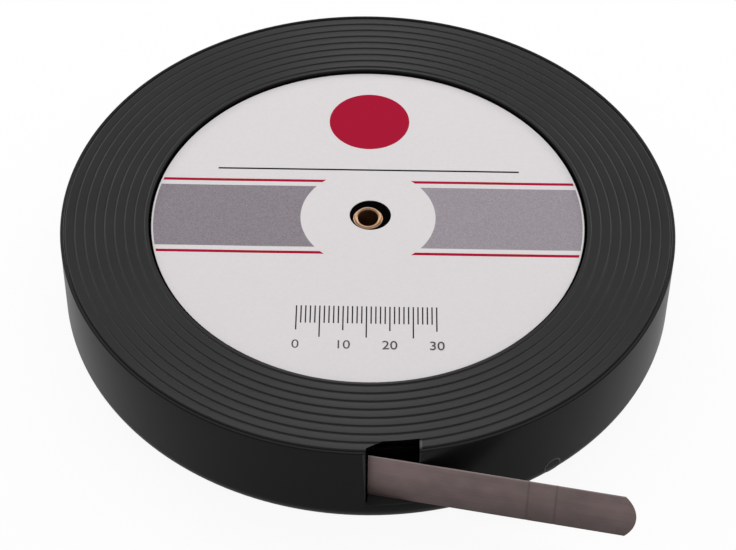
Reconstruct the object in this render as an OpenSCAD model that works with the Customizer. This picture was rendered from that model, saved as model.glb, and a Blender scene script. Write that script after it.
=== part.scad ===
// Shim stock roll: a coil of thin steel strip in a round moulded case.
// The strip leaves the case through a slot in the wall, and its free end lies outside.
// Millimetres, +Z up. The origin is on the eyelet's axis, in the plane of the case's foot.

/* [Case] */
// Outer diameter of the case at its rim
case_d = 136; // [110:0.5:180]
// Thickness of the wall
wall_t = 2.4; // [2:0.1:3]
// How far the foot is set in from the wall
foot_inset = 1.1; // [0.5:0.1:1.6]
// Height of the rounded foot, up to where the wall stands upright
foot_round_h = 3; // [1.6:0.1:3.6]
// Height of the inner floor above the foot
floor_z = 4.9; // [3.8:0.1:8]
// Thickness of the floor
floor_t = 2.3; // [1.2:0.1:2.7]
// Width of the foot ring under the floor
foot_ring_w = 3; // [2:0.1:8]
// Width of the rim that shows round the lid
rim_w = 0.85; // [0.75:0.05:1.2]
// Radius of the rim's rounded outer edge
rim_round = 0.3; // [0.1:0.05:0.35]
// Outer diameter of the hub
hub_d = 12; // [10:0.5:24]
// Height of the hub's lower end above the foot
hub_foot_z = 0.8; // [0.7:0.05:1]

/* [Slot] */
// How far the slot starts to the right of the centre
slot_x = 0.3; // [0:0.1:1]
// Width of the slot in the wall
slot_w = 10.9; // [8:0.1:16]
// Length of the slanted side of the lid's notch, along the slot
notch_slant = 3.3; // [2:0.1:6]
// Depth of the notch where its slanted side starts
notch_start = 0.75; // [0.3:0.05:1]
// Thickness of the lid's edge round the notch, over its pocket
notch_lip = 0.6; // [0.5:0.05:1.2]
// How far the pocket reaches under that edge
notch_under = 1.5; // [0.8:0.1:1.6]

/* [Lid] */
// Thickness of the lid
lid_t = 2.5; // [2:0.1:4]
// Gap between the lid's edge and the rim
lid_gap = 0.1; // [0.05:0.01:0.2]
// Number of grooves round the lid
groove_count = 8; // [2:1:12]
// Distance from one groove to the next
groove_pitch = 2.19; // [1.6:0.01:3]
// Width of a groove at the top
groove_w = 0.62; // [0.4:0.02:0.7]
// Depth of a groove
groove_depth = 0.18; // [0.1:0.02:0.5]
// Width of the land between the last groove and the label's recess
recess_land = 0.64; // [0.3:0.02:3]
// Depth of that recess
recess_depth = 1; // [0.5:0.05:1.1]

/* [Label] */
// Gap between the label's edge and the recess
label_gap = 0.65; // [0.2:0.05:2]
// Thickness of the label
label_t = 0.15; // [0.08:0.01:0.3]
// Room round the eyelet's lip in the label's hole
label_hole_room = 1.3; // [1.3:0.1:4]
// How far the label's hole is punched to the right of the centre
label_hole_x = 0.5; // [0:0.05:0.6]
// How far the label's hole is punched behind the centre
label_hole_y = 1.05; // [0:0.05:1.1]

/* [Eyelet] */
// Bore of the eyelet
eyelet_bore_d = 4.4; // [3:0.1:6]
// Thickness of the eyelet's tube
eyelet_wall = 0.4; // [0.2:0.05:0.6]
// Width of the rolled lip, from the bore outwards
lip_w = 1.1; // [0.9:0.05:1.2]
// Gap between the tube and the holes it goes through
eyelet_gap = 0.05; // [0.02:0.01:0.1]
// Height of the upper lip's upright side, under its rolled crest
lip_rise = 0.3; // [0.1:0.05:0.4]

/* [Strip] */
// Width of the strip
strip_w = 12.7; // [6:0.1:25]
// Thickness of the strip
strip_t = 0.08; // [0.05:0.01:0.3]
// Length of the whole strip
strip_len = 5000; // [1000:100:10000]
// Length of the free end, from the slot's near side to the tip
free_len = 56.3; // [20:0.1:120]
// Angle between the free end and the case's front, seen from above
exit_angle = 10.6; // [9:0.1:14]
// How far the rounded tip bulges past its corners
tip_bulge = 2.3; // [0.5:0.1:2.9]
// Running gap beside and under the strip
run_gap = 0.3; // [0.2:0.05:0.4]
// Room above the strip, under the lid
head_room = 1; // [0.5:0.1:4]

/* [Hidden] */
$fn = 96;

// How far a cutting shape reaches past the solid that it cuts
past = 1;
// Steps along each turned arc
arc_steps = 8;

// Heights: the strip stands on the floor, and the lid closes over it
strip_z = floor_z + run_gap;
seat_z = strip_z + strip_w + head_room;
case_h = seat_z + lid_t;
panel_z = floor_z - floor_t;
recess_z = case_h - recess_depth;
crest_z = recess_z + lip_rise;

// Radii of the case and its lid
case_r = case_d/2;
foot_r = case_r - foot_inset;
// The foot's edge is an arc that meets the upright wall smoothly
foot_round_r = (pow(foot_inset, 2) + pow(foot_round_h, 2))/(2*foot_inset);
foot_round_a = asin(foot_round_h/foot_round_r);
chamber_r = case_r - wall_t;
seat_r = case_r - rim_w;
lid_r = seat_r - lid_gap;
hub_r = hub_d/2;
function groove_r(k) = seat_r - lid_gap/2 - k*groove_pitch;
recess_r = groove_r(groove_count) - groove_w/2 - recess_land;
// The notch ends on the first land inside the first groove
notch_r = groove_r(1) - groove_w/2 - lid_gap;

// Radii of the eyelet and what is cut for it
bore_r = eyelet_bore_d/2;
tube_r = bore_r + eyelet_wall;
hole_r = tube_r + eyelet_gap;
lip_r = bore_r + lip_w;

// The slot's near side is cut square to the strip, so it moves along as it goes in through the wall
near_x = slot_x + wall_t*tan(exit_angle);
far_x = slot_x + slot_w;
// The strip passes the inner corner of that side just inside the wall, and its line runs beside the coil
edge_r = chamber_r - run_gap - near_x*tan(exit_angle);
line_r = edge_r*cos(exit_angle);
coil_r = line_r - strip_t - run_gap;
// The straight run starts just inside the wall too, as far behind the coil as the slot is ahead
hidden_len = 2*edge_r*sin(exit_angle);
run_len = hidden_len + free_len;
tip_r = (pow(tip_bulge, 2) + pow(strip_w/2, 2))/(2*tip_bulge);
// The coil holds the rest of the strip, wound tight
coil_bore_r = sqrt(pow(coil_r, 2) - (strip_len - run_len)*strip_t/PI);

// Points of an arc in the turned section, from one angle to another
function arc(middle, r, from, to) = [for (i = [0:arc_steps])
    let (a = from + (to - from)*i/arc_steps) middle + r*[cos(a), sin(a)]];

// The case is turned as a cup with a foot ring, a rebate for the lid and a hub
module case_turned() {
    rotate_extrude() polygon(concat(
        [[hole_r, hub_foot_z], [hub_r, hub_foot_z], [hub_r, panel_z]],
        [[foot_r - foot_ring_w, panel_z], [foot_r - foot_ring_w, 0]],
        arc([case_r - foot_round_r, foot_round_h], foot_round_r, -foot_round_a, 0),
        arc([case_r - rim_round, case_h - rim_round], rim_round, 0, 90),
        [[groove_r(0) + groove_w/2, case_h], [seat_r, case_h - groove_depth]],
        [[seat_r, seat_z], [chamber_r, seat_z], [chamber_r, floor_z]],
        [[hub_r, floor_z], [hub_r, seat_z], [hole_r, seat_z]]
    ));
}

// The slot is open at the top, and its sill is level with the floor
module slot_cut() {
    in = case_r - coil_r;
    translate([0, -case_r, floor_z])
    linear_extrude(case_h) polygon([
        [slot_x - past*tan(exit_angle), -past], [far_x, -past],
        [far_x, in], [slot_x + in*tan(exit_angle), in]
    ]);
}

module case_base() {
    color("#2b2a2c")
    difference() {
        case_turned();
        slot_cut();
    }
}

// One V groove, as the section that is turned round the lid
module groove_section(k) {
    translate([groove_r(k), case_h]) polygon([
        [-groove_w/2, past], [-groove_w/2, 0], [0, -groove_depth], [groove_w/2, 0], [groove_w/2, past]
    ]);
}

// The lid's edge has half of the outermost groove, and the rim beside it has the other half
module lid_section() {
    difference() {
        polygon([
            [hole_r, seat_z], [lid_r, seat_z],
            [lid_r, case_h - groove_depth], [lid_r - groove_w/2, case_h],
            [recess_r, case_h], [recess_r, recess_z],
            [hole_r, recess_z]
        ]);
        for (k = [1:groove_count]) groove_section(k);
    }
}

// The lid is cut back over the slot: a slanted side, then an arc, then a straight side
module notch_cut() {
    translate([0, 0, seat_z - past])
    linear_extrude(lid_t + 2*past)
    difference() {
        polygon([
            [slot_x, -case_r - past], [slot_x, -lid_r + notch_start],
            [slot_x + notch_slant, -notch_r], [slot_x + notch_slant, -notch_r + groove_pitch],
            [far_x, -notch_r + groove_pitch], [far_x, -case_r - past]
        ]);
        circle(r = notch_r);
    }
}

// Under the notch's edge the lid is hollowed out, so that the strip's edge runs free
module notch_pocket() {
    translate([slot_x, -case_r - past, seat_z - past])
        cube([slot_w, case_r + past - notch_r + notch_under, past + lid_t - notch_lip]);
}

module case_lid() {
    color("#343335")
    difference() {
        rotate_extrude() lid_section();
        notch_cut();
        notch_pocket();
    }
}

// A paper disc, glued into the recess, with its hole punched a little off centre
module label() {
    color("#dbd8db")
    translate([0, 0, recess_z])
    difference() {
        cylinder(r = recess_r - label_gap, h = label_t);
        translate([label_hole_x, label_hole_y, -past])
            cylinder(r = lip_r + label_hole_room, h = label_t + 2*past);
    }
}

// A brass tube with one lip rolled over the recess's floor and the other over the hub's lower end
module eyelet() {
    lip_middle = bore_r + lip_w/2;
    color("#b79a62")
    rotate_extrude() polygon(concat(
        arc([lip_middle, crest_z], lip_w/2, 180, 0),
        [[lip_r, recess_z], [tube_r, recess_z], [tube_r, hub_foot_z]],
        arc([lip_middle, hub_foot_z], lip_w/2, 360, 180)
    ));
}

// The wound part of the strip, as one ring
module strip_coil() {
    color("#6f655f")
    translate([0, 0, strip_z])
    rotate_extrude()
        translate([coil_bore_r, 0]) square([coil_r - coil_bore_r, strip_w]);
}

// The corners that are cut off the end of the run to round its tip
module tip_corners() {
    difference() {
        translate([run_len - tip_r, -past, -past])
            cube([tip_r + past, strip_t + 2*past, strip_w + 2*past]);
        translate([run_len - tip_r, strip_t + 2*past, strip_w/2])
            rotate([90, 0, 0]) cylinder(r = tip_r, h = strip_t + 4*past);
    }
}

// The straight run is laid along X, then turned to the angle at which it leaves the case
module strip_end() {
    color("#6f655f")
    rotate([0, 0, -exit_angle])
    translate([-hidden_len/2, -line_r, strip_z])
    difference() {
        cube([run_len, strip_t, strip_w]);
        tip_corners();
    }
}

case_base();
case_lid();
label();
eyelet();
strip_coil();
strip_end();
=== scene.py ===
# %% [markdown]
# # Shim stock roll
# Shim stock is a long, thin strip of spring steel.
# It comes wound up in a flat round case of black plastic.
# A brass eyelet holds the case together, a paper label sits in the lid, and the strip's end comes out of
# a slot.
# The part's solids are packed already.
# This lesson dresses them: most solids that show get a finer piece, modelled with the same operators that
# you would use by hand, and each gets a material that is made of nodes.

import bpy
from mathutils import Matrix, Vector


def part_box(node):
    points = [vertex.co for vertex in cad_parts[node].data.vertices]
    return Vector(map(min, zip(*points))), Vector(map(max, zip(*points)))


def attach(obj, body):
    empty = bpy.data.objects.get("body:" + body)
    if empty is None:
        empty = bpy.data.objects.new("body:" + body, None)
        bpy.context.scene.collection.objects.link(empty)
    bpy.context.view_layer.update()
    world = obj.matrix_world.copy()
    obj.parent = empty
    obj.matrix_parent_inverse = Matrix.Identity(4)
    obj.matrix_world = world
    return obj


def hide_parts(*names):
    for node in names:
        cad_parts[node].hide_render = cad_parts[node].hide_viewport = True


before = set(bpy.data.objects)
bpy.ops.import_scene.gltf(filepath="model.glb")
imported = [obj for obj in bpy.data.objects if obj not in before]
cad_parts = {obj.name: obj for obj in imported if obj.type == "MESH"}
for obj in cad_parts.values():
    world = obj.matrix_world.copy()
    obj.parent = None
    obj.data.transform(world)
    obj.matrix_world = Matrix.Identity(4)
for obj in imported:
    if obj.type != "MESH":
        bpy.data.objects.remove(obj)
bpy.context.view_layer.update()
print("solids:", sorted(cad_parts))

# %% [markdown]
# ## Sizes
# Blender works in metres here, while a maker thinks in millimetres, so one value turns the one into the
# other.
# What the solids can tell is read from their boxes.
# The rest repeats the drawing's own values.

# %% Sizes of the case, lid and label
import bmesh
import bpy
import math
from mathutils import Quaternion, Vector

MM = 0.001
# Points closer together than SAME are one point
SAME = 0.001*MM
# A point that lies this near to a plane, in mm, is on it
NEAR = 0.01
case_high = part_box("case_base")[1]
case_r, case_h = case_high.x/MM, case_high.z/MM
label_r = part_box("label")[1].x/MM
wall_t, rim_w, foot_inset, lid_t, lid_gap, recess_depth = 2.4, 0.85, 1.1, 2.5, 0.1, 1
foot_r, chamber_r, seat_r = case_r - foot_inset, case_r - wall_t, case_r - rim_w
foot_ring_w, foot_round_h, panel_z, floor_z = 3, 3, 2.6, 4.9
seat_z, recess_z = case_h - lid_t, case_h - recess_depth
hub_r, hub_foot_z, hole_r = 6, 0.8, 2.65
lid_r = seat_r - lid_gap
groove_count, groove_pitch, groove_w, groove_depth, recess_land = 8, 2.19, 0.62, 0.18, 0.64


def groove_r(k):
    """Radius of the middle of a groove, counted from the rim."""
    return seat_r - lid_gap/2 - k*groove_pitch


recess_r = groove_r(groove_count) - groove_w/2 - recess_land
print(f"case {2*case_r:.1f} mm across and {case_h:.1f} mm high, label {2*label_r:.1f} mm across")

# %% [markdown]
# ## Modelling helpers
# Most of this object is turned: its case, lid and eyelet are all one flat outline swept round an axis.
# By hand you would set one point, extrude it from corner to corner, fill the outline and spin it.
# Three helpers do just that, one for the outline, one for its arcs and one for the spin.
# Another extrudes an outline into a block to cut with.
# An operator acts on all that is selected, so one helper selects a piece alone, and one selects parts of
# a mesh by where they lie.

# %% Selecting a piece, and selecting by place
def choose(piece):
    """Selects one piece alone and makes it the active one."""
    bpy.ops.object.select_all(action="DESELECT")
    piece.select_set(True)
    bpy.context.view_layer.objects.active = piece


def pick(kind, test):
    """In edit mode, selects the vertices, edges or faces that pass a test, and counts them."""
    bpy.ops.mesh.select_mode(type=kind)
    bpy.ops.mesh.select_all(action="DESELECT")
    mesh = bpy.context.object.data
    shape = bmesh.from_edit_mesh(mesh)
    parts = {"VERT": shape.verts, "EDGE": shape.edges, "FACE": shape.faces}[kind]
    chosen = [part for part in parts if test(part)]
    for part in chosen:
        part.select_set(True)
    bmesh.update_edit_mesh(mesh)
    return len(chosen)


# %% Drawing a flat outline
def draw_outline(name, corners):
    """Starts a piece as one point, extrudes it from corner to corner and fills the outline."""
    bpy.ops.object.select_all(action="DESELECT")
    bpy.ops.mesh.primitive_plane_add(size=MM, location=(0, 0, 0))
    piece = bpy.context.object
    piece.name = piece.data.name = name
    bpy.ops.object.mode_set(mode="EDIT")
    bpy.ops.mesh.select_mode(type="VERT")
    bpy.ops.mesh.select_all(action="SELECT")
    bpy.ops.mesh.merge(type="CENTER")
    bpy.ops.transform.translate(value=corners[0])
    for here, there in zip(corners, corners[1:]):
        bpy.ops.mesh.extrude_vertices_move(TRANSFORM_OT_translate={"value": there - here})
    ends = (corners[0], corners[-1])
    pick("VERT", lambda v: any((v.co - end).length < SAME for end in ends))
    bpy.ops.mesh.edge_face_add()
    bpy.ops.mesh.select_all(action="SELECT")
    bpy.ops.mesh.edge_face_add()
    return piece


# %% Points of an arc
def arc(middle, radius, start, end, steps):
    """Points of an arc in a section, from one angle to another in degrees."""
    angles = [math.radians(start + (end - start)*n/steps) for n in range(steps + 1)]
    return [(middle[0] + radius*math.cos(a), middle[1] + radius*math.sin(a)) for a in angles]


# %% Turning an outline into a piece
# With this many steps no seam falls on the slot's sides, where a cut through a seam would leave slivers
TURN_STEPS = 190
ROUND_STEPS = 4


def turn(name, section, rounds, steps=TURN_STEPS):
    """Draws a section of (radius, height) in mm, rounds the numbered corners and spins it about Z."""
    corners = [Vector((r, 0, z))*MM for r, z in section]
    piece = draw_outline(name, corners)
    for radius, numbers in rounds:
        places = [corners[n] for n in numbers]
        pick("VERT", lambda v: any((v.co - place).length < SAME for place in places))
        bpy.ops.mesh.bevel(offset=radius*MM, segments=ROUND_STEPS, affect="VERTICES")
    bpy.ops.mesh.select_all(action="SELECT")
    bpy.ops.mesh.delete(type="ONLY_FACE")
    bpy.ops.mesh.select_all(action="SELECT")
    bpy.ops.mesh.spin(steps=steps, angle=2*math.pi, center=(0, 0, 0), axis=(0, 0, 1))
    bpy.ops.mesh.select_all(action="SELECT")
    bpy.ops.mesh.remove_doubles(threshold=SAME)
    bpy.ops.mesh.normals_make_consistent(inside=False)
    bpy.ops.object.mode_set(mode="OBJECT")
    return piece


# %% Cutting one shape out of another
# How far a cutter reaches past what it cuts, in mm
past = 1


def block(name, outline, low, high):
    """Draws a level outline of (x, y) in mm and extrudes it from one height to another."""
    piece = draw_outline(name, [Vector((x, y, low))*MM for x, y in outline])
    bpy.ops.mesh.extrude_region_move(TRANSFORM_OT_translate={"value": (0, 0, (high - low)*MM)})
    bpy.ops.mesh.select_all(action="SELECT")
    bpy.ops.mesh.normals_make_consistent(inside=False)
    bpy.ops.object.mode_set(mode="OBJECT")
    return piece


def cut_away(piece, cutter):
    """Cuts the cutter's shape out of the piece with a Boolean, and removes the cutter."""
    choose(piece)
    bpy.ops.object.modifier_add(type="BOOLEAN")
    boolean = piece.modifiers[-1]
    boolean.operation, boolean.solver, boolean.object = "DIFFERENCE", "EXACT", cutter
    bpy.ops.object.modifier_apply(modifier=boolean.name)
    bpy.data.objects.remove(cutter)


# %% Handing a piece over
def hand_over(piece, body, slot, *nodes, sharp=35):
    """Smooths shallow angles, hangs the piece on its body, hides the solids it stands for and prints it.
    """
    choose(piece)
    bpy.ops.object.shade_smooth_by_angle(angle=math.radians(sharp))
    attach(piece, body)
    if nodes:
        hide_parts(*nodes)
    size = [round(d/MM, 2) for d in piece.dimensions]
    print(f"{piece.name}: {len(piece.data.polygons)} faces, {size} mm, rides on {body}")


# %% [markdown]
# ## The case
# The lower half of the case is one plastic moulding: a floor, a wall, a foot ring, a hub and a rim.
# A plain cylinder would miss the foot's edge, which is drawn in so that the case is easy to pick up, and
# the rounded rim that catches the light, so the whole section is spun.
# The rim's inner edge is cut down by half a groove, and the lid's edge has the other half.
# Mouldings have no knife edges, so each outer corner of the section is rounded before it is spun.

# %% The turned case
rim_round, shoulder_round, foot_round, foot_steps = 0.25, 0.1, 0.3, 8
foot_round_r = (foot_inset**2 + foot_round_h**2)/(2*foot_inset)
foot_round_a = math.degrees(math.asin(foot_round_h/foot_round_r))
case_section = [
    (case_r, case_h), (groove_r(0) + groove_w/2, case_h), (seat_r, case_h - groove_depth),
    (seat_r, seat_z), (chamber_r, seat_z), (chamber_r, floor_z),
    (hub_r, floor_z), (hub_r, seat_z), (hole_r, seat_z),
    (hole_r, hub_foot_z), (hub_r, hub_foot_z), (hub_r, panel_z),
    (foot_r - foot_ring_w, panel_z), (foot_r - foot_ring_w, 0),
]
# The numbers of the corners that are rounded
rim_corner, rim_inner, hub_corner, foot_inner = [0], [1], [10], [13]
foot_middle = (case_r - foot_round_r, foot_round_h)
case_section += arc(foot_middle, foot_round_r, -foot_round_a, 0, foot_steps)
case_rounds = [
    (rim_round, rim_corner), (shoulder_round, rim_inner), (foot_round, hub_corner + foot_inner),
]
case_shell = turn("case_shell", case_section, case_rounds)
print("turned case:", len(case_shell.data.vertices), "points")

# %% [markdown]
# The slot is a gap in the wall that the strip leaves by.
# It reaches from the floor's level up through the rim.
# Its near side is cut square to the strip, and its far side points straight out.
# A Boolean cuts it with a block.
# The cut leaves sharp edges, so those that face outwards are bevelled, more on the side that the strip
# slides past.
# That gives the fine light line that a moulded edge shows.

# %% The slot in the wall
slot_x, far_x, slot_in, exit_angle = 0.3, 11.2, 4.3, math.radians(10.6)
near_round, far_round, near_steps, far_steps = 0.7, 0.2, 6, 3
slant = math.tan(exit_angle)
slot_outline = [
    (slot_x - past*slant, -case_r - past), (far_x, -case_r - past),
    (far_x, -case_r + slot_in), (slot_x + slot_in*slant, -case_r + slot_in),
]
cut_away(case_shell, block("slot_cutter", slot_outline, floor_z, floor_z + case_h))
bpy.ops.object.mode_set(mode="EDIT")


def on_slot(edge, *sides):
    """True for an edge of the slot on the wall's outer side, at its near side, far side or sill."""
    outer, lies = True, {"near": True, "far": True, "sill": True}
    for v in edge.verts:
        x, y, z = v.co/MM
        on_outer_half = math.hypot(x, y) > chamber_r + wall_t/2
        outer = outer and on_outer_half and y < 0 and slot_x - near_round < x < far_x + NEAR
        lies["near"] = lies["near"] and abs(x - slot_x - (y + case_r)*slant) < NEAR
        lies["far"] = lies["far"] and abs(x - far_x) < NEAR
        lies["sill"] = lies["sill"] and abs(z - floor_z) < NEAR
    is_sharp = edge.calc_face_angle(0) > 0.5
    return outer and any(lies[side] for side in sides) and is_sharp


near_count = pick("EDGE", lambda e: on_slot(e, "near"))
bpy.ops.mesh.bevel(offset=near_round*MM, segments=near_steps, affect="EDGES")
other_count = pick("EDGE", lambda e: on_slot(e, "far", "sill"))
bpy.ops.mesh.bevel(offset=far_round*MM, segments=far_steps, affect="EDGES")
bpy.ops.object.mode_set(mode="OBJECT")
print("bevelled", near_count, "edges on the slot's near side and", other_count, "others")
hand_over(case_shell, "case", "case_plastic", "case_base")

# %% [markdown]
# Near the foot the wall carries a low raised ring, the trace of a pin in the mould.
# A torus is flat and wouldn't follow the drawn-in foot, so a circle of points is shrink-wrapped onto the
# wall first.
# It then becomes a curve with a round bevel, half sunk in the wall.

# %% The mould's ring
ring_azimuth, ring_z, ring_r, ring_points = math.radians(-54.17), 2.8, 2.0, 72
wire_r, wire_sunk = 0.25, 0.16
outward = Vector((math.cos(ring_azimuth), math.sin(ring_azimuth), 0))
ring_place = (outward*case_r + Vector((0, 0, ring_z)))*MM
bpy.ops.object.select_all(action="DESELECT")
bpy.ops.mesh.primitive_circle_add(
    vertices=ring_points, radius=ring_r*MM, location=ring_place, rotation=(0, math.pi/2, ring_azimuth))
mould_ring = bpy.context.object
mould_ring.name = "mould_ring"
bpy.ops.object.transform_apply(location=True, rotation=True, scale=True)
bpy.ops.object.modifier_add(type="SHRINKWRAP")
wrap = mould_ring.modifiers[-1]
wrap.target, wrap.wrap_method, wrap.wrap_mode = case_shell, "NEAREST_SURFACEPOINT", "ON_SURFACE"
bpy.ops.object.modifier_apply(modifier=wrap.name)
bpy.ops.object.convert(target="CURVE")
mould_ring = bpy.context.object
mould_ring.data.bevel_depth, mould_ring.data.bevel_resolution = wire_r*MM, 3
bpy.ops.object.convert(target="MESH")
mould_ring = bpy.context.object
mould_ring.data.name = "mould_ring"
bpy.ops.object.mode_set(mode="EDIT")
bpy.ops.mesh.select_all(action="SELECT")
bpy.ops.transform.translate(value=-wire_sunk*MM*outward)
bpy.ops.mesh.remove_doubles(threshold=SAME)
bpy.ops.mesh.normals_make_consistent(inside=False)
bpy.ops.object.mode_set(mode="OBJECT")
hand_over(mould_ring, "case", "case_plastic")

# %% [markdown]
# ## The lid
# The lid is a second moulding, a disc that sits inside the rim.
# Its top is turned with V grooves, round a shallow recess for the label.
# The grooves are what makes the lid look like a record, so they are real geometry: each one is three
# points of the section, and the spin turns them all at once.

# %% The turned lid
groove_round = 0.05
groove_z = case_h - groove_depth
lid_section = [(hole_r, recess_z), (hole_r, seat_z), (lid_r, seat_z)]
lid_section += [(lid_r, groove_z), (lid_r - groove_w/2, case_h)]
first_groove = len(lid_section)
for k in range(1, groove_count + 1):
    middle = groove_r(k)
    lid_section += [(middle + groove_w/2, case_h), (middle, groove_z), (middle - groove_w/2, case_h)]
after_grooves = len(lid_section)
lid_section += [(recess_r, case_h), (recess_r, recess_z)]
bottoms = list(range(first_groove + 1, after_grooves, 3))
shoulders = [n for n in range(first_groove - 1, after_grooves + 1) if n not in bottoms]
lid_disc = turn("lid_disc", lid_section, [(shoulder_round, shoulders), (groove_round, bottoms)])
print("turned lid:", groove_count, "grooves")

# %% [markdown]
# Over the slot the lid is cut back, so that a finger can reach the strip: a slanted side, an arc and a
# straight side.
# Under that edge the lid is hollowed out by a pocket, which is why the notch looks black from above.
# Both cutters are blocks.
# The far corner of the outer land is worn down, so that land is bisected beside the notch and its edge is
# lowered a little.

# %% The notch in the lid and its pocket
notch_r = groove_r(1) - groove_w/2 - lid_gap
notch_slant, notch_start, notch_lip, notch_under, arc_steps = 3.3, 0.75, 0.6, 1.5, 10
notch = [(slot_x, -case_r - past), (slot_x, -lid_r + notch_start)]
for step in range(arc_steps + 1):
    x = slot_x + notch_slant + (far_x - slot_x - notch_slant)*step/arc_steps
    notch.append((x, -math.sqrt(notch_r**2 - x**2)))
notch.append((far_x, -case_r - past))
cut_away(lid_disc, block("notch_cutter", notch, seat_z - past, case_h + past))
pocket_y = -notch_r + notch_under
pocket = [(slot_x, -case_r - past), (far_x, -case_r - past), (far_x, pocket_y), (slot_x, pocket_y)]
cut_away(lid_disc, block("pocket_cutter", pocket, seat_z - past, case_h - notch_lip))
print(f"notch cut {far_x - slot_x:.1f} mm wide, with a lip of {notch_lip} mm over its pocket")

# %% The worn corner of the notch
worn_mm, worn_drop = 0.5, 0.12


def on_far_land(face):
    """True for a face on top of the lid's outermost land, just past the notch's far side."""
    x, y, z = face.calc_center_median()/MM
    at_side = far_x < x < far_x + 2*worn_mm and y < 0 and math.hypot(x, y) > groove_r(1)
    return at_side and face.normal.z > 0.1 and z > groove_z


def on_far_edge(v):
    """True for a point on that land's edge over the notch, its rounded shoulders included."""
    x, y, z = v.co/MM
    at_side = abs(x - far_x) < NEAR and y < 0 and math.hypot(x, y) > groove_r(1)
    return at_side and z > case_h - groove_depth/2


bpy.ops.object.mode_set(mode="EDIT")
worn_count = pick("FACE", on_far_land)
bpy.ops.mesh.bisect(plane_co=((far_x + worn_mm)*MM, 0, 0), plane_no=(1, 0, 0), threshold=SAME)
worn_points = pick("VERT", on_far_edge)
bpy.ops.transform.translate(value=(0, 0, -worn_drop*MM))
bpy.ops.object.mode_set(mode="OBJECT")
print("bisected", worn_count, "faces and lowered", worn_points, "points at the notch's far corner")
hand_over(lid_disc, "case", "lid_plastic", "case_lid")

# %% [markdown]
# ## The label
# The label is a disc of coated paper, glued into the recess.
# Its hole is punched a little off centre.
# Two circles are bridged into a flat ring with loops between them.
# Paper on glue is never quite flat, so a Displace modifier lifts it in long low waves, and Solidify gives
# it its thickness.

# %% The paper disc
hole_x, hole_y, hole_edge_r, label_t, edge_points, loops = 0.5, 1.05, 4.6, 0.12, 160, 20
label_top = recess_z + label_t
bpy.ops.object.select_all(action="DESELECT")
bpy.ops.mesh.primitive_circle_add(
    vertices=edge_points, radius=label_r*MM, location=(0, 0, label_top*MM))
label_sheet = bpy.context.object
label_sheet.name = label_sheet.data.name = "label_sheet"
bpy.ops.object.transform_apply(location=True, rotation=True, scale=True)
bpy.ops.object.mode_set(mode="EDIT")
hole_middle = Vector((hole_x, hole_y, label_top))*MM
bpy.ops.mesh.primitive_circle_add(
    vertices=edge_points, radius=hole_edge_r*MM, location=hole_middle)
bpy.ops.mesh.select_all(action="SELECT")
bpy.ops.mesh.bridge_edge_loops(number_cuts=loops, interpolation="LINEAR")
bpy.ops.mesh.select_all(action="SELECT")
bpy.ops.mesh.normals_make_consistent(inside=False)
pick("FACE", lambda f: f.normal.z < 0)
bpy.ops.mesh.flip_normals()
bpy.ops.object.mode_set(mode="OBJECT")
print("paper disc:", len(label_sheet.data.polygons), "faces")

# %% The waves of the paper
wave_h, wave_len = 0.14, 26
waves = bpy.data.textures.new("paper_waves", "CLOUDS")
waves.noise_scale, waves.noise_depth = wave_len*MM, 1
bpy.ops.object.modifier_add(type="DISPLACE")
lift = label_sheet.modifiers[-1]
lift.texture, lift.direction, lift.strength, lift.mid_level = waves, "Z", wave_h*MM, 0.25
bpy.ops.object.modifier_apply(modifier=lift.name)
bpy.ops.object.modifier_add(type="SOLIDIFY")
thicken = label_sheet.modifiers[-1]
thicken.thickness, thicken.offset = label_t*MM, -1
bpy.ops.object.modifier_apply(modifier=thicken.name)
hand_over(label_sheet, "case", "label_paper", "label")

# %% [markdown]
# ## The eyelet
# A brass tube goes through lid and hub, and both its ends are rolled over.
# A rolled lip opens like a bell to a crest, and its thin outer edge curls down to the plastic, with a
# valley between the two.
# That double line is what the eye sees, so the section draws both and is spun like the case.

# %% The rolled eyelet
bore_r, tube_r, bell_r, curl_r = 2.2, 2.6, 0.5, 0.3
lip_rise, bead_r, bead_middle, eyelet_steps = 0.15, 0.15, (3.15, 0.15), 98
crest = bore_r + bell_r


def rolled_lip(rise):
    """Section of a lip: the bell up to the crest, the curl down from it and the outer bead."""
    bell = arc((crest, rise), bell_r, 180, 90, 6)
    curl = arc((crest, rise + bell_r - curl_r), curl_r, 75, 10, 4)
    return bell + curl + arc(bead_middle, bead_r, 120, -90, 7)


upper = [(r, recess_z + z) for r, z in rolled_lip(lip_rise)]
lower = [(r, hub_foot_z - z) for r, z in reversed(rolled_lip(0))]
eyelet_section = upper + [(tube_r, recess_z), (tube_r, hub_foot_z)] + lower
eyelet_roll = turn("eyelet_roll", eyelet_section, [], steps=eyelet_steps)
print("turned eyelet: crest", round(recess_z + lip_rise + bell_r, 2), "mm up")

# %% [markdown]
# A press never rolls a lip quite evenly.
# This crest is pressed down at the front, so the bell and the curl are turned a little about an axis from
# left to right, while the bead stays on the plastic.

# %% The uneven roll
lean, lip_room = math.radians(7), 0.1


def on_crest(v):
    """True for a point of the upper lip inside the bead."""
    x, y, z = v.co/MM
    return z > recess_z + lip_room and math.hypot(x, y) < bead_middle[0] - lip_room


bpy.ops.object.mode_set(mode="EDIT")
pick("VERT", on_crest)
lip_middle = (0, 0, (recess_z + lip_rise)*MM)
bpy.ops.transform.rotate(value=-lean, orient_axis="X", center_override=lip_middle)
bpy.ops.object.mode_set(mode="OBJECT")
for place, side in (("front", -1), ("back", 1)):
    top = max(v.co.z for v in eyelet_roll.data.vertices if side*v.co.y > bore_r*MM)
    print("crest at the", place, round(top/MM, 2), "mm up")
hand_over(eyelet_roll, "case", "eyelet_brass", "eyelet", sharp=50)

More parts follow.
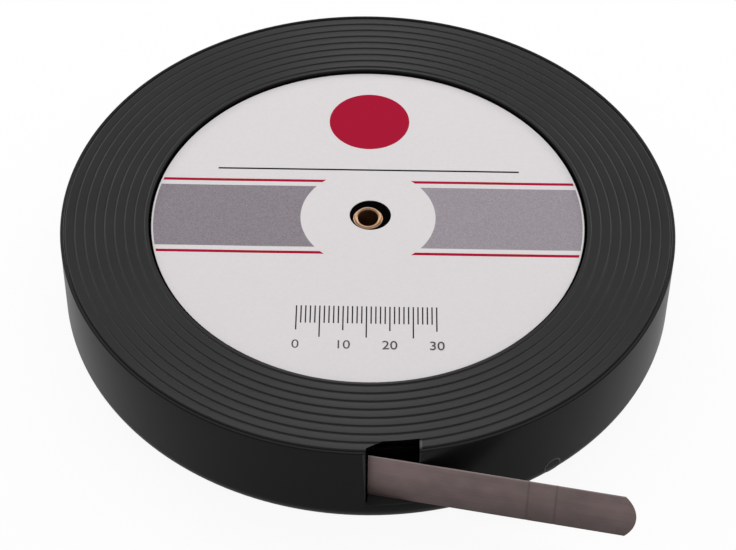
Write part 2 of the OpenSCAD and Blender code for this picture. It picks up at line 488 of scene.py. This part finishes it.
# %% [markdown]
# ## The strip's end
# The strip is spring steel, 12.7 mm wide and only 0.08 mm thick, with a rounded tip.
# Its outline is drawn upright along its own run, bisected across where it has been creased, and extruded
# by its thickness.
# The tip was cut a little askew, so its lower corner lies further out than its upper one.
# A point on it is given by how far it lies along the run and how high.

# %% The strip's own directions
strip_w, strip_t, run_gap, free_len, tip_bulge = 12.7, 0.08, 0.3, 56.3, 2.3
strip_z = floor_z + run_gap
edge_r = chamber_r - run_gap - (slot_x + wall_t*slant)*slant
line_r = edge_r*math.cos(exit_angle)
hidden_len = 2*edge_r*math.sin(exit_angle)
run_len = hidden_len + free_len
along = Vector((math.cos(exit_angle), -math.sin(exit_angle), 0))
inward = Vector((math.sin(exit_angle), math.cos(exit_angle), 0))


def on_strip(run, height):
    """The place in the frame of a point on the strip's outer face."""
    return (along*(run - hidden_len/2) - inward*line_r + Vector((0, 0, strip_z + height)))*MM


print(f"strip run {run_len:.2f} mm, of which {free_len} mm is outside")

# %% The strip's outline with its rounded tip
tip_r = (tip_bulge**2 + (strip_w/2)**2)/(2*tip_bulge)
tip_half = math.degrees(math.asin(strip_w/2/tip_r))
tip_skew, tip_steps = 0.75, 20
tip_arc = arc((run_len - tip_r, strip_w/2), tip_r, -tip_half, tip_half, tip_steps)
tip_points = [on_strip(u + tip_skew*(0.5 - z/strip_w), z) for u, z in tip_arc]
strip_corners = [on_strip(0, 0)] + tip_points + [on_strip(0, strip_w)]
strip_blade = draw_outline("strip_blade", strip_corners)
print("strip outline:", len(strip_corners), "corners")

# %% [markdown]
# Handling leaves faint creases across such thin steel.
# Each crease is three cuts close together, and the middle one is pushed in by a few hundredths of a
# millimetre.

# %% The creases
crease_half = 0.45
# Each crease is given by how far along the run it lies and how deep it is
creases = [(hidden_len + 24.6, 0.012), (hidden_len + 34.0, 0.04), (hidden_len + 39.75, 0.04)]
cuts = [run + side for run, _ in creases for side in (-crease_half, 0, crease_half)]
# More cuts keep the faces between the creases from being long and thin
cuts += [hidden_len*part for part in (0.25, 0.5, 0.75)]
cuts += [hidden_len + free_len*part for part in (0, 0.2, 0.8, 0.9)]
for run in sorted(cuts):
    bpy.ops.mesh.select_all(action="SELECT")
    bpy.ops.mesh.bisect(plane_co=on_strip(run, 0), plane_no=along, threshold=SAME)
bpy.ops.mesh.select_all(action="SELECT")
bpy.ops.mesh.extrude_region_move(TRANSFORM_OT_translate={"value": inward*strip_t*MM})
bpy.ops.mesh.select_all(action="SELECT")
bpy.ops.mesh.normals_make_consistent(inside=False)
for run, depth in creases:
    middle = on_strip(run, 0)
    pick("VERT", lambda v: abs((v.co - middle).dot(along)) < NEAR*MM)
    bpy.ops.transform.translate(value=inward*depth*MM)
bpy.ops.object.mode_set(mode="OBJECT")
hand_over(strip_blade, "free_end", "strip_steel", "strip_end")

# %% [markdown]
# ## Materials
# Every material starts from what the real stuff is and how its surface was made.
# One function turns a colour that is written as an sRGB hex value into the linear numbers that the shader
# works with.
# Another adds a node with its settings and links, so a whole material reads as a short list.
# The rest starts a material, puts it on a piece, and puts a second one on some of a piece's faces.

# %% Colour and node helpers
def linear(colour):
    """Turns an sRGB hex value into linear red, green, blue and alpha."""
    parts = [int(colour[n:n + 2], 16)/255 for n in (1, 3, 5)]
    return tuple(p/12.92 if p <= 0.04045 else ((p + 0.055)/1.055)**2.4 for p in parts) + (1,)


def add(tree, kind, settings=(), links=()):
    """Adds a node, sets its inputs or options, and links sockets to its inputs."""
    made = tree.nodes.new("ShaderNode" + kind)
    for name, value in dict(settings).items():
        if isinstance(name, int) or name in made.inputs:
            made.inputs[name].default_value = value
        else:
            setattr(made, name, value)
    for name, socket in dict(links).items():
        tree.links.new(socket, made.inputs[name])
    return made


# The option of a Mix node that mixes colours: its share is socket 0, and its colours are sockets 6 and 7
mix = {"data_type": "RGBA"}


# %% Putting a material on a piece
def new_finish(name):
    """Makes an empty material and gives its tree, its shader and its place on the piece."""
    finish = bpy.data.materials.new(name)
    finish.use_nodes = True
    shader = finish.node_tree.nodes["Principled BSDF"]
    place = add(finish.node_tree, "TexCoord").outputs["Object"]
    return finish, finish.node_tree, shader, place


def dress(piece, finish):
    """Puts a material on a piece as its only one."""
    piece.data.materials.clear()
    piece.data.materials.append(finish)
    print(piece.name, "is dressed in", finish.name)


def dress_part(piece, finish, test):
    """Puts a second material on the faces of a piece that pass a test."""
    piece.data.materials.append(finish)
    piece.active_material_index = len(piece.data.materials) - 1
    choose(piece)
    bpy.ops.object.mode_set(mode="EDIT")
    count = pick("FACE", test)
    bpy.ops.object.material_slot_assign()
    bpy.ops.object.mode_set(mode="OBJECT")
    print(count, "faces of", piece.name, "are dressed in", finish.name)


# %% [markdown]
# ### Moulded black plastic
# The case is black polypropylene from a steel mould with a fine spark-eroded grain.
# That gives a dark satin surface with a broad, soft sheen and a grain that is only just seen.
# The grain of the real mould is about 0.1 mm, too fine to show here, so it is drawn at 0.35 mm.
# The ring stands proud, and its paler colour is a painted highlight.

# %% The case's plastic
grain_mm, grain_deep_mm, patch_mm, gloss_spread = 0.35, 0.02, 18, 0.05


def moulded_plastic(name, colour, roughness, specular, turned=0):
    """A satin plastic with a mould grain, slow patches in its gloss, and turned lines if asked for."""
    finish, tree, shader, place = new_finish(name)
    shader.inputs["Base Color"].default_value = linear(colour)
    shader.inputs["IOR"].default_value = 1.49
    shader.inputs["Specular IOR Level"].default_value = specular
    grain = add(tree, "TexNoise", {"Scale": 1/(grain_mm*MM), "Detail": 2}, {"Vector": place})
    patches = add(tree, "TexNoise", {"Scale": 1/(patch_mm*MM), "Detail": 3}, {"Vector": place})
    spread = {"To Min": roughness - gloss_spread, "To Max": roughness + gloss_spread}
    gloss = add(tree, "MapRange", spread, {"Value": patches.outputs["Fac"]})
    relief = {"Strength": 0.25, "Distance": grain_deep_mm*MM}
    bump = add(tree, "Bump", relief, {"Height": grain.outputs["Fac"]})
    tree.links.new(gloss.outputs["Result"], shader.inputs["Roughness"])
    tree.links.new(bump.outputs["Normal"], shader.inputs["Normal"])
    if turned:
        shader.inputs["Anisotropic"].default_value = turned
        round_axis = add(tree, "Tangent", {"direction_type": "RADIAL", "axis": "Z"}).outputs[0]
        tree.links.new(round_axis, shader.inputs["Tangent"])
    return finish


case_finish = moulded_plastic("moulded_black_polypropylene", "#121112", roughness=0.3, specular=0.11)
# Painted highlight: a paler colour on the mould's raised ring
ring_highlight_finish = moulded_plastic("moulded_black_polypropylene_ring_highlight", "#5c5b5c",
                                roughness=0.5, specular=0.11)
dress(case_shell, case_finish)
dress(mould_ring, ring_highlight_finish)

# %% [markdown]
# The lid comes from a mould that was turned on a lathe, and its lands keep the turned lines.
# Like the grooves of a record they spread a reflection across the lines, so the lands shine more at front
# and back.

# %% The lid's plastic
lid_finish = moulded_plastic("moulded_black_polypropylene_lid", "#1b1a1c",
                             roughness=0.45, specular=0.25, turned=0.9)
dress(lid_disc, lid_finish)

# %% [markdown]
# The upright faces inside slot and notch get a nearly black, matte colour: painted shade, since so little
# light reaches them that they look quite black beside the strip.
# The floor of the recess gets the same painted shade, so it shows black in the label's hole.

# %% The painted shade on the faces of slot and notch
slot_deep, side_room = 6, 0.1
# Painted shade: a nearly black, matte colour for faces that lie in deep shadow
slot_shade_finish = moulded_plastic("moulded_black_polypropylene_painted_shade", "#060606",
                               roughness=0.85, specular=0)


def in_slot(face):
    """True for an upright face inside the slot or the notch, but not on the wall's rounded edge."""
    x, y, _ = face.calc_center_median()/MM
    at_slot = y < -case_r + slot_deep and slot_x - side_room < x < far_x + side_room/2
    upright = abs(face.normal.z) < 0.2
    turned_out = -face.normal.y > 0.4 and math.hypot(x, y) > chamber_r + 1
    return at_slot and upright and not turned_out


def on_recess(face):
    """True for the floor of the label's recess."""
    return face.normal.z > 0.9 and abs(face.calc_center_median().z/MM - recess_z) < NEAR


dress_part(case_shell, slot_shade_finish, in_slot)
dress_part(lid_disc, slot_shade_finish, lambda face: in_slot(face) or on_recess(face))

# %% [markdown]
# The slot's sill and its rounded edges are a little paler: partly wear from fingers and the strip's edge,
# partly a painted highlight where the roundings catch the light.
# The far corner of the notch sticks out, is worn most and carries the brightest painted highlight.

# %% The worn edges of the slot, with painted highlights
edge_room = 0.25
# Worn and painted highlight: paler colours on the slot's sill and roundings and on the notch's far corner
worn_highlit_finish = moulded_plastic("moulded_black_polypropylene_worn_highlit", "#302f30",
                              roughness=0.45, specular=0.11)
lid_worn_highlit_finish = moulded_plastic("moulded_black_polypropylene_lid_worn_highlit", "#484748",
                                  roughness=0.5, specular=0.25)


def on_worn(face):
    """True for the slot's sill and the roundings of its upright edges on the wall's outer side."""
    x, y, z = face.calc_center_median()/MM
    across = y < -chamber_r and slot_x - near_round - NEAR < x < far_x + edge_room
    up = floor_z - edge_room < z < case_h - shoulder_round
    sill = abs(z - floor_z) < edge_room and face.normal.z > 0.3
    turned_away = abs(face.normal.x - x/case_r)
    rounding = 0.1 < turned_away < 0.92 and -face.normal.y > 0.3 and abs(face.normal.z) < 0.2
    return across and up and (sill or rounding)


def on_worn_corner(face):
    """True for the worn far corner of the notch on the lid's outermost land."""
    beside = face.calc_center_median().x/MM < far_x + worn_mm
    return on_far_land(face) and beside and face.normal.z > 0.9


dress_part(case_shell, worn_highlit_finish, on_worn)
dress_part(lid_disc, lid_worn_highlit_finish, on_worn_corner)

# %% [markdown]
# ### Printed paper
# The label is white coated paper, printed in grey, red and black.
# Coated paper is smooth but not glossy, and its fibres leave the faintest unevenness.
# The grey panels are printed as a fine grain.
# The print is drawn from the piece's own coordinates: a Compare node is a band, two of them make a
# rectangle, and a distance makes a ring.
# The design is a plain one: a colour dot, two panels with rules, a line and a scale.

# %% The paper and the places of the print
label_finish, tree, shader, place = new_finish("coated_paper_printed")
axes = add(tree, "SeparateXYZ", links={"Vector": place})
label_x, label_y = axes.outputs["X"], axes.outputs["Y"]


def band(value, low, high):
    """A mask in the tree at hand that is 1 where a coordinate lies between two values in mm."""
    middle, half = (low + high)/2*MM, (high - low)/2*MM
    return add(tree, "Math", {"operation": "COMPARE", 1: middle, 2: half}, {0: value}).outputs[0]


def ring(x, y, low, high):
    """A mask that is 1 between two distances in mm from a point on the label."""
    middle = (x*MM, y*MM, label_top*MM)
    away = add(tree, "VectorMath", {"operation": "DISTANCE", 1: middle}, {0: place})
    return band(away.outputs["Value"], low, high)


def join(operation, *masks):
    """Combines masks: MULTIPLY keeps what all share, MAXIMUM keeps what any has."""
    result = masks[0]
    for mask in masks[1:]:
        result = add(tree, "Math", {"operation": operation}, {0: result, 1: mask}).outputs[0]
    return result


# %% The masks of the print
panel_y, panel_half, panel_gap_r, margin = 0.5, 9.5, 15, 0.4
ring_room = ring(0, panel_y, panel_gap_r, label_r + 1)
inside_edge = ring(0, 0, 0, label_r - margin)
panel_band = band(label_y, panel_y - panel_half, panel_y + panel_half)
panels = join("MULTIPLY", panel_band, ring_room, inside_edge)
rule_mm, rule_gap = 0.8, 1.3
rule_bands = []
for side in (1, -1):
    rule_y = panel_y + side*(panel_half + rule_gap + rule_mm/2)
    rule_bands.append(band(label_y, rule_y - rule_mm/2, rule_y + rule_mm/2))
rules = join("MULTIPLY", join("MAXIMUM", *rule_bands), ring_room, inside_edge)
dot_y, dot_r = 31.5, 9.2
dot = ring(0, dot_y, 0, dot_r)
print("label print: two panels, two rules, a dot")

# %% The scale and the line
scale_top, scale_half, tick_mm = -26.5, 15, 0.3
tick_lengths = [(1, 5.0), (5, 7.0), (10, 9.0)]
line_low, line_high, line_half = 15.2, 15.7, 34


def ticks(pitch, length):
    """A mask of upright ticks at a pitch, hung from the scale's top line."""
    nearest = add(tree, "Math", {"operation": "PINGPONG", 1: pitch/2*MM}, {0: label_x}).outputs[0]
    hung = band(label_y, scale_top - length, scale_top)
    return join("MULTIPLY", band(nearest, -tick_mm/2, tick_mm/2), hung)


scale_ticks = join("MULTIPLY", join("MAXIMUM", *[ticks(*t) for t in tick_lengths]),
                   band(label_x, -scale_half - tick_mm/2, scale_half + tick_mm/2))
line = join("MULTIPLY", band(label_y, line_low, line_high), band(label_x, -line_half, line_half))
black_print = join("MAXIMUM", scale_ticks, line)
print("label print: a scale of", 2*scale_half, "mm and a line to write on")

# %% The inks on the paper
fibre_mm, speck_mm = 0.8, 0.28
fibre = add(tree, "TexNoise", {"Scale": 1/(fibre_mm*MM), "Detail": 4}, {"Vector": place}).outputs["Fac"]
speckle = {"Scale": 1/(speck_mm*MM), "Detail": 2, "Roughness": 0.7}
speck = add(tree, "TexNoise", speckle, {"Vector": place}).outputs["Fac"]
paper = add(tree, "Mix", {**mix, 6: linear("#d6d2d3"), 7: linear("#dedadb")}, {0: fibre})
grain_of_grey = add(tree, "MapRange", {"From Min": 0.3, "From Max": 0.7}, {"Value": speck})
greys = []
for dark, light in (("#8a8289", "#a49ca3"), ("#7a7279", "#968e95")):
    two_greys = {**mix, 6: linear(dark), 7: linear(light)}
    greys.append(add(tree, "Mix", two_greys, {0: grain_of_grey.outputs["Result"]}).outputs[2])
left_half = band(label_x, -label_r, 0)
grey = add(tree, "Mix", mix, {0: left_half, 6: greys[0], 7: greys[1]})
with_grey = add(tree, "Mix", mix, {0: panels, 6: paper.outputs[2], 7: grey.outputs[2]})
with_red = add(tree, "Mix", {**mix, 7: linear("#a4082f")},
               {0: join("MAXIMUM", rules, dot), 6: with_grey.outputs[2]})
with_black = add(tree, "Mix", {**mix, 7: linear("#1d1b1c")},
                 {0: black_print, 6: with_red.outputs[2]})
tree.links.new(with_black.outputs[2], shader.inputs["Base Color"])
shader.inputs["Roughness"].default_value = 0.55
shader.inputs["Specular IOR Level"].default_value = 0.05
paper_bump = add(tree, "Bump", {"Strength": 0.15, "Distance": 0.02*MM}, {"Height": fibre})
tree.links.new(paper_bump.outputs["Normal"], shader.inputs["Normal"])
dress(label_sheet, label_finish)

# %% [markdown]
# A scale needs its numbers.
# Each is a text object, made a mesh, laid a hair above the paper and joined into one piece.

# %% The numbers of the scale
number_mm, ink_t, number_step, number_drop = 3.4, 0.01, 10, 12.2
number_z = label_top + wave_h/2
numbers = []
for n in range(0, 2*scale_half + 1, number_step):
    bpy.ops.object.select_all(action="DESELECT")
    bpy.ops.object.text_add(location=(0, 0, 0))
    text = bpy.context.object
    text.data.body, text.data.size, text.data.extrude = str(n), number_mm*MM, ink_t*MM
    text.data.align_x = "CENTER"
    bpy.ops.object.convert(target="MESH")
    text = bpy.context.object
    text.location = Vector((n - scale_half, scale_top - number_drop, number_z))*MM
    bpy.ops.object.transform_apply(location=True, rotation=True, scale=True)
    numbers.append(text)
for text in numbers:
    text.select_set(True)
bpy.context.view_layer.objects.active = numbers[0]
bpy.ops.object.join()
scale_numbers = bpy.context.object
scale_numbers.name = scale_numbers.data.name = "scale_numbers"
hand_over(scale_numbers, "case", "label_paper")

# %% [markdown]
# Ink is thin and a little uneven, so it is not quite black: a slow noise lets the paper through.

# %% The ink of the numbers
ink_finish, tree, shader, place = new_finish("black_printing_ink")
cover = add(tree, "TexNoise", {"Scale": 1/(fibre_mm*MM), "Detail": 3}, {"Vector": place}).outputs["Fac"]
ink = add(tree, "Mix", {**mix, 6: linear("#1a1819"), 7: linear("#252224")}, {0: cover})
tree.links.new(ink.outputs[2], shader.inputs["Base Color"])
shader.inputs["Roughness"].default_value = 0.5
dress(scale_numbers, ink_finish)

# %% [markdown]
# ### Rolled brass
# Brass is a yellow metal that dulls to tan.
# The rolling tool polishes the crest, and the air darkens the rest in patches, so the colour and the
# roughness both follow a slow noise.

# %% The eyelet's brass
brass_finish, tree, shader, place = new_finish("rolled_brass_dulled")
tarnish_mm = 1.2
spots = {"Scale": 1/(tarnish_mm*MM), "Detail": 4}
tarnish = add(tree, "TexNoise", spots, {"Vector": place}).outputs["Fac"]
tone = add(tree, "Mix", {**mix, 6: linear("#92735a"), 7: linear("#b8967a")}, {0: tarnish})
tree.links.new(tone.outputs[2], shader.inputs["Base Color"])
dulling = add(tree, "MapRange", {"To Min": 0.3, "To Max": 0.5}, {"Value": tarnish})
tree.links.new(dulling.outputs["Result"], shader.inputs["Roughness"])
shader.inputs["Metallic"].default_value = 1
dress(eyelet_roll, brass_finish)

# %% [markdown]
# ### Cold rolled spring steel
# Spring steel strip is rolled, hardened and tempered.
# The rolls leave fine lines along the strip, and tempering leaves a warm grey.
# The lines are some 0.02 mm apart, too fine to show, so they are drawn at 0.2 mm across and 25 mm along.
# A Mapping node turns the pattern onto the strip's own run, and a slow noise adds stains.

# %% The lines of the rolls
line_across_mm, line_along_mm, stain_mm = 0.2, 25, 6
steel_finish, tree, shader, place = new_finish("cold_rolled_spring_steel")
on_run = {"vector_type": "TEXTURE", "Rotation": (0, 0, -exit_angle)}
laid = add(tree, "Mapping", on_run, {"Vector": place}).outputs[0]
stretch = {"Scale": (line_across_mm/line_along_mm, 1, 1)}
stretched = add(tree, "Mapping", stretch, {"Vector": laid}).outputs[0]
fine = {"Scale": 1/(line_across_mm*MM), "Detail": 3}
lines = add(tree, "TexNoise", fine, {"Vector": stretched}).outputs["Fac"]
stains = add(tree, "TexNoise", {"Scale": 1/(stain_mm*MM), "Detail": 3}, {"Vector": laid}).outputs["Fac"]
two_tones = {**mix, 6: linear("#8a7978"), 7: linear("#b19c9a")}
tone = add(tree, "Mix", two_tones, {0: lines}).outputs[2]
shade = {**mix, "blend_type": "MULTIPLY"}
stained = add(tree, "Mix", {**shade, 0: 0.45}, {6: tone, 7: stains}).outputs[2]
rough = add(tree, "MapRange", {"To Min": 0.48, "To Max": 0.62}, {"Value": lines}).outputs["Result"]
bump = add(tree, "Bump", {"Strength": 0.2, "Distance": 0.01*MM}, {"Height": lines}).outputs["Normal"]
tree.links.new(rough, shader.inputs["Roughness"])
tree.links.new(bump, shader.inputs["Normal"])
shader.inputs["Metallic"].default_value = 0.85
print(f"steel: lines {line_across_mm} mm across and {line_along_mm} mm along, stains {stain_mm} mm")

# %% [markdown]
# A painted shade darkens the strip's lower half, and painted light makes the strip brighter near the
# slot, fading towards the tip.
# Each deeper crease carries a painted shade, a faint dark line across the strip.
# The upper edge carries a painted highlight, brightest where it has just come out of the slot.

# %% The painted shade, the shaded creases and the painted edge highlight
lower_shade_mm, slot_light_mm, edge_highlight_mm, crease_shade_mm, deep_crease = 9, 35, 0.45, 0.4, 0.02
edge_z = strip_z + strip_w
height = add(tree, "SeparateXYZ", links={"Vector": place}).outputs["Z"]
# Painted shade: the strip's lower half is darker
lower_shade_zone = {"From Min": strip_z*MM, "From Max": (strip_z + lower_shade_mm)*MM, "To Min": 0.58}
lower_shade = add(tree, "MapRange", lower_shade_zone, {"Value": height}).outputs["Result"]
lower_shaded = add(tree, "Mix", {**shade, 0: 1}, {6: stained, 7: lower_shade}).outputs[2]
run = add(tree, "SeparateXYZ", links={"Vector": laid}).outputs["X"]
# Painted light: the strip is brightest where it leaves the slot and darker towards the tip
near_slot_span = {"From Min": hidden_len/2*MM, "From Max": (hidden_len/2 + slot_light_mm)*MM}
slot_light_zone = {**near_slot_span, "To Min": 1, "To Max": 0.745}
slot_light = add(tree, "MapRange", slot_light_zone, {"Value": run}).outputs["Result"]
slot_lit = add(tree, "Mix", {**shade, 0: 1}, {6: lower_shaded, 7: slot_light}).outputs[2]


def dirt(crease):
    """A mask that fades from 1 in the middle of a crease to 0 on both sides of it."""
    from_middle = {"operation": "SUBTRACT", 1: (crease - hidden_len/2)*MM}
    offset = add(tree, "Math", from_middle, {0: run}).outputs[0]
    away = add(tree, "Math", {"operation": "ABSOLUTE"}, {0: offset}).outputs[0]
    fade = {"From Max": crease_shade_mm*MM, "To Min": 1, "To Max": 0}
    return add(tree, "MapRange", fade, {"Value": away}).outputs["Result"]


# Painted shade: a faint dark line in each deeper crease
crease_shade_lines = join("MAXIMUM", *[dirt(crease) for crease, depth in creases if depth > deep_crease])
crease_shaded = add(tree, "Mix", {**shade, 7: linear("#e4e0df")}, {0: crease_shade_lines, 6: slot_lit}).outputs[2]
# Painted highlight: a bright band along the strip's upper edge, fading away from the slot
edge_highlight_zone = {"From Min": (edge_z - edge_highlight_mm)*MM, "From Max": (edge_z - edge_highlight_mm/2)*MM}
edge_highlight = add(tree, "MapRange", edge_highlight_zone, {"Value": height}).outputs["Result"]
fading = {**near_slot_span, "To Min": 1, "To Max": 0.4}
bright = add(tree, "MapRange", fading, {"Value": run}).outputs["Result"]
tint = add(tree, "Mix", {**mix, 7: linear("#a89c99")},
           {0: join("MULTIPLY", edge_highlight, bright), 6: crease_shaded}).outputs[2]
tree.links.new(tint, shader.inputs["Base Color"])
dress(strip_blade, steel_finish)

# %% [markdown]
# Inside the case the strip is wound tight, and the solid for it is a plain ring.
# Its shape is right, so it stays.
# What shows of a coil is its turns: on the ends they are fine rings, one strip thickness apart.
# 0.08 mm is too fine to draw, so the rings are drawn 0.32 mm apart, from the distance to the axis.

# %% The wound steel
turn_mm = 0.32
coil_finish, tree, shader, place = new_finish("wound_spring_steel")
axes = add(tree, "SeparateXYZ", links={"Vector": place})
flat = add(tree, "CombineXYZ", links={"X": axes.outputs["X"], "Y": axes.outputs["Y"]}).outputs[0]
away = add(tree, "VectorMath", {"operation": "LENGTH"}, {0: flat}).outputs["Value"]
turns = add(tree, "Math", {"operation": "PINGPONG", 1: turn_mm/2*MM}, {0: away}).outputs[0]
edge = add(tree, "MapRange", {"From Max": turn_mm/2*MM}, {"Value": turns}).outputs["Result"]
tone = add(tree, "Mix", {**mix, 6: linear("#4d4442"), 7: linear("#7b6d6a")}, {0: edge})
tree.links.new(tone.outputs[2], shader.inputs["Base Color"])
bump = add(tree, "Bump", {"Strength": 0.4, "Distance": 0.05*MM}, {"Height": edge})
tree.links.new(bump.outputs["Normal"], shader.inputs["Normal"])
shader.inputs["Metallic"].default_value = 1
shader.inputs["Roughness"].default_value = 0.38
dress(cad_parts["strip_coil"], coil_finish)

# %% [markdown]
# ## Floor, light and camera
# The roll lies on a plain white floor.
# To the camera and in reflections the floor glows a little by itself, so that it looks white while the
# light on the object stays at a plain level.
# The rest keeps the roll's shadow.
# A large soft light behind and above lights the lid's flat lands.
# Two smaller and brighter ones stand lower, behind at left and right, and draw the light lines in the
# grooves at the lid's sides.
# The front has no lamp, so the wall there stays dark.
# The world around gives an even white light.

# %% The floor
camera_share, mirror_share, floor_m = 0.92, 0.25, 12
bpy.ops.object.select_all(action="DESELECT")
bpy.ops.mesh.primitive_plane_add(size=floor_m, location=(0, 0, 0))
floor = bpy.context.object
floor.name = "floor"
floor_finish, tree, shader, _ = new_finish("white_floor")
shader.inputs["Base Color"].default_value = linear("#f8f6f7")
shader.inputs["Roughness"].default_value = 0.9
shader.inputs["Specular IOR Level"].default_value = 0
glow = add(tree, "Emission", {"Strength": 1}).outputs[0]
rays = add(tree, "LightPath").outputs
mirrored = join("MAXIMUM", rays["Is Glossy Ray"], rays["Is Transmission Ray"])
mirror_part = add(tree, "Math", {"operation": "MULTIPLY", 1: mirror_share}, {0: mirrored}).outputs[0]
camera_part = add(tree, "Math", {"operation": "MULTIPLY", 1: camera_share},
                  {0: rays["Is Camera Ray"]}).outputs[0]
share = join("MAXIMUM", camera_part, mirror_part)
seen = add(tree, "MixShader", links={0: share, 1: shader.outputs[0], 2: glow}).outputs[0]
tree.links.new(seen, tree.nodes["Material Output"].inputs["Surface"])
dress(floor, floor_finish)

# %% The soft lights
world_light = 0.57
world = bpy.data.worlds.new("studio")
world.use_nodes = True
bpy.context.scene.world = world
background = world.node_tree.nodes["Background"]
background.inputs["Color"].default_value = (1, 1, 1, 1)
background.inputs["Strength"].default_value = world_light


def softbox(name, place, aim, width, height, brightness):
    """An area light of even brightness, turned towards a point."""
    bpy.ops.object.light_add(type="AREA", location=place)
    lamp = bpy.context.object
    lamp.name = name
    lamp.data.shape, lamp.data.size, lamp.data.size_y = "RECTANGLE", width, height
    lamp.data.energy = brightness*math.pi*width*height
    lamp.rotation_euler = (Vector(aim) - Vector(place)).to_track_quat("-Z", "Y").to_euler()
    print(name, f"{lamp.data.energy:.2f} W")


lid_top = (0, 0, case_h*MM)
softbox("softbox_back", (0, 0.62, 1.0), lid_top, width=1.2, height=0.8, brightness=1.6)
for name, side in (("softbox_left", -1), ("softbox_right", 1)):
    softbox(name, (side*0.66, 0.72, 0.4), lid_top, width=0.5, height=0.35, brightness=5.5)

# %% [markdown]
# The camera looks down at the roll from the front with a long lens, so the case's height hardly tapers.
# Its place, its aim, its slight roll and its lens follow from the round outline of the case in the
# photograph.

# %% The camera
eye = Vector((0, -0.36886, case_h*MM + 0.37139))
aim = Vector((0.00019, -0.01806, case_h*MM))
roll = math.radians(0.908)
bpy.ops.object.camera_add(location=eye)
camera = bpy.context.object
camera.rotation_mode = "QUATERNION"
camera.rotation_quaternion = (aim - eye).to_track_quat("-Z", "Y") @ Quaternion((0, 0, 1), roll)
camera.data.sensor_width, camera.data.lens = 36, 115.45
camera.data.dof.use_dof = False
bpy.context.scene.camera = camera
bpy.context.scene.view_settings.view_transform = "Standard"
print(f"camera {(aim - eye).length:.3f} m from its aim, lens {camera.data.lens} mm")
